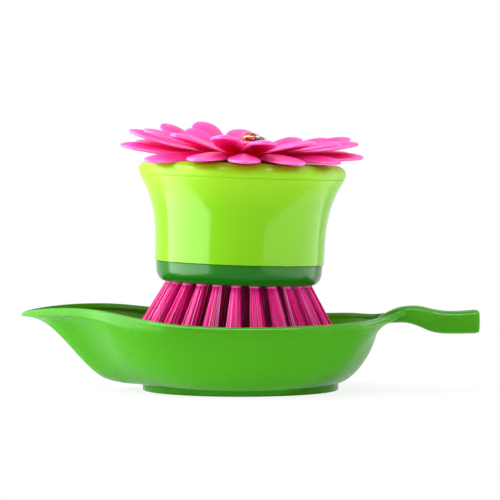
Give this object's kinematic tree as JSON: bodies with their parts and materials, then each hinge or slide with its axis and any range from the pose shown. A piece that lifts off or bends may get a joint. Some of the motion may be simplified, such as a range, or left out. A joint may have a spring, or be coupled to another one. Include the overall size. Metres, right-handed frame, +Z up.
{
  "type": "palm dish brush with leaf dish",
  "caption": "Round palm dish brush with a flared pot handle, a flower lid and splayed bristle tufts, standing in a leaf-shaped drip dish with a stem handle.",
  "frame": {"origin": "on the table, under the middle of the leaf's overall length and width", "axes": "+X from the leaf's tip to its stem, +Z up, -Y the front"},
  "size_m": [0.195, 0.113, 0.1145],
  "materials": {
    "dish_green": "moulded leaf green plastic, satin gloss",
    "pot_lime": "moulded lime plastic, high gloss",
    "block_green": "moulded dark green plastic, gloss",
    "petal_pink": "soft pink plastic, satin",
    "button_pink": "deep pink plastic, satin",
    "bristle_pink": "crimson pink nylon filament",
    "ladybird_red": "red painted plastic, gloss",
    "ladybird_black": "black plastic, gloss",
    "steel": "plain steel"
  },
  "bodies": {
    "holder": {"leaf_dish": "dish_green"},
    "brush": {"pot_shell": "pot_lime", "top_deck": "pot_lime", "brush_block": "block_green", "petals_lower": "petal_pink", "petals_upper": "petal_pink", "flower_centre": "button_pink", "flower_screw": "steel", "flower_washer": "steel", "ladybug_shell": "ladybird_red", "ladybug_body": "ladybird_black", "tuft_outer_01": "bristle_pink", "tuft_outer_02": "bristle_pink", "tuft_outer_03": "bristle_pink", "tuft_outer_04": "bristle_pink", "tuft_outer_05": "bristle_pink", "tuft_outer_06": "bristle_pink", "tuft_outer_07": "bristle_pink", "tuft_outer_08": "bristle_pink", "tuft_outer_09": "bristle_pink", "tuft_outer_10": "bristle_pink", "tuft_outer_11": "bristle_pink", "tuft_outer_12": "bristle_pink", "tuft_outer_13": "bristle_pink", "tuft_outer_14": "bristle_pink", "tuft_outer_15": "bristle_pink", "tuft_outer_16": "bristle_pink", "tuft_outer_17": "bristle_pink", "tuft_outer_18": "bristle_pink", "tuft_outer_19": "bristle_pink", "tuft_outer_20": "bristle_pink", "tuft_outer_21": "bristle_pink", "tuft_outer_22": "bristle_pink", "tuft_outer_23": "bristle_pink", "tuft_outer_24": "bristle_pink", "tuft_middle_01": "bristle_pink", "tuft_middle_02": "bristle_pink", "tuft_middle_03": "bristle_pink", "tuft_middle_04": "bristle_pink", "tuft_middle_05": "bristle_pink", "tuft_middle_06": "bristle_pink", "tuft_middle_07": "bristle_pink", "tuft_middle_08": "bristle_pink", "tuft_middle_09": "bristle_pink", "tuft_middle_10": "bristle_pink", "tuft_middle_11": "bristle_pink", "tuft_middle_12": "bristle_pink", "tuft_middle_13": "bristle_pink", "tuft_middle_14": "bristle_pink", "tuft_middle_15": "bristle_pink", "tuft_inner_01": "bristle_pink", "tuft_inner_02": "bristle_pink", "tuft_inner_03": "bristle_pink", "tuft_inner_04": "bristle_pink", "tuft_inner_05": "bristle_pink", "tuft_inner_06": "bristle_pink"}
  },
  "joints": [
    {"name": "brush_lift", "type": "slide", "parent": "holder", "child": "brush", "axis": [0, 0, 1], "range_m": [0, 0.12]}
  ]
}
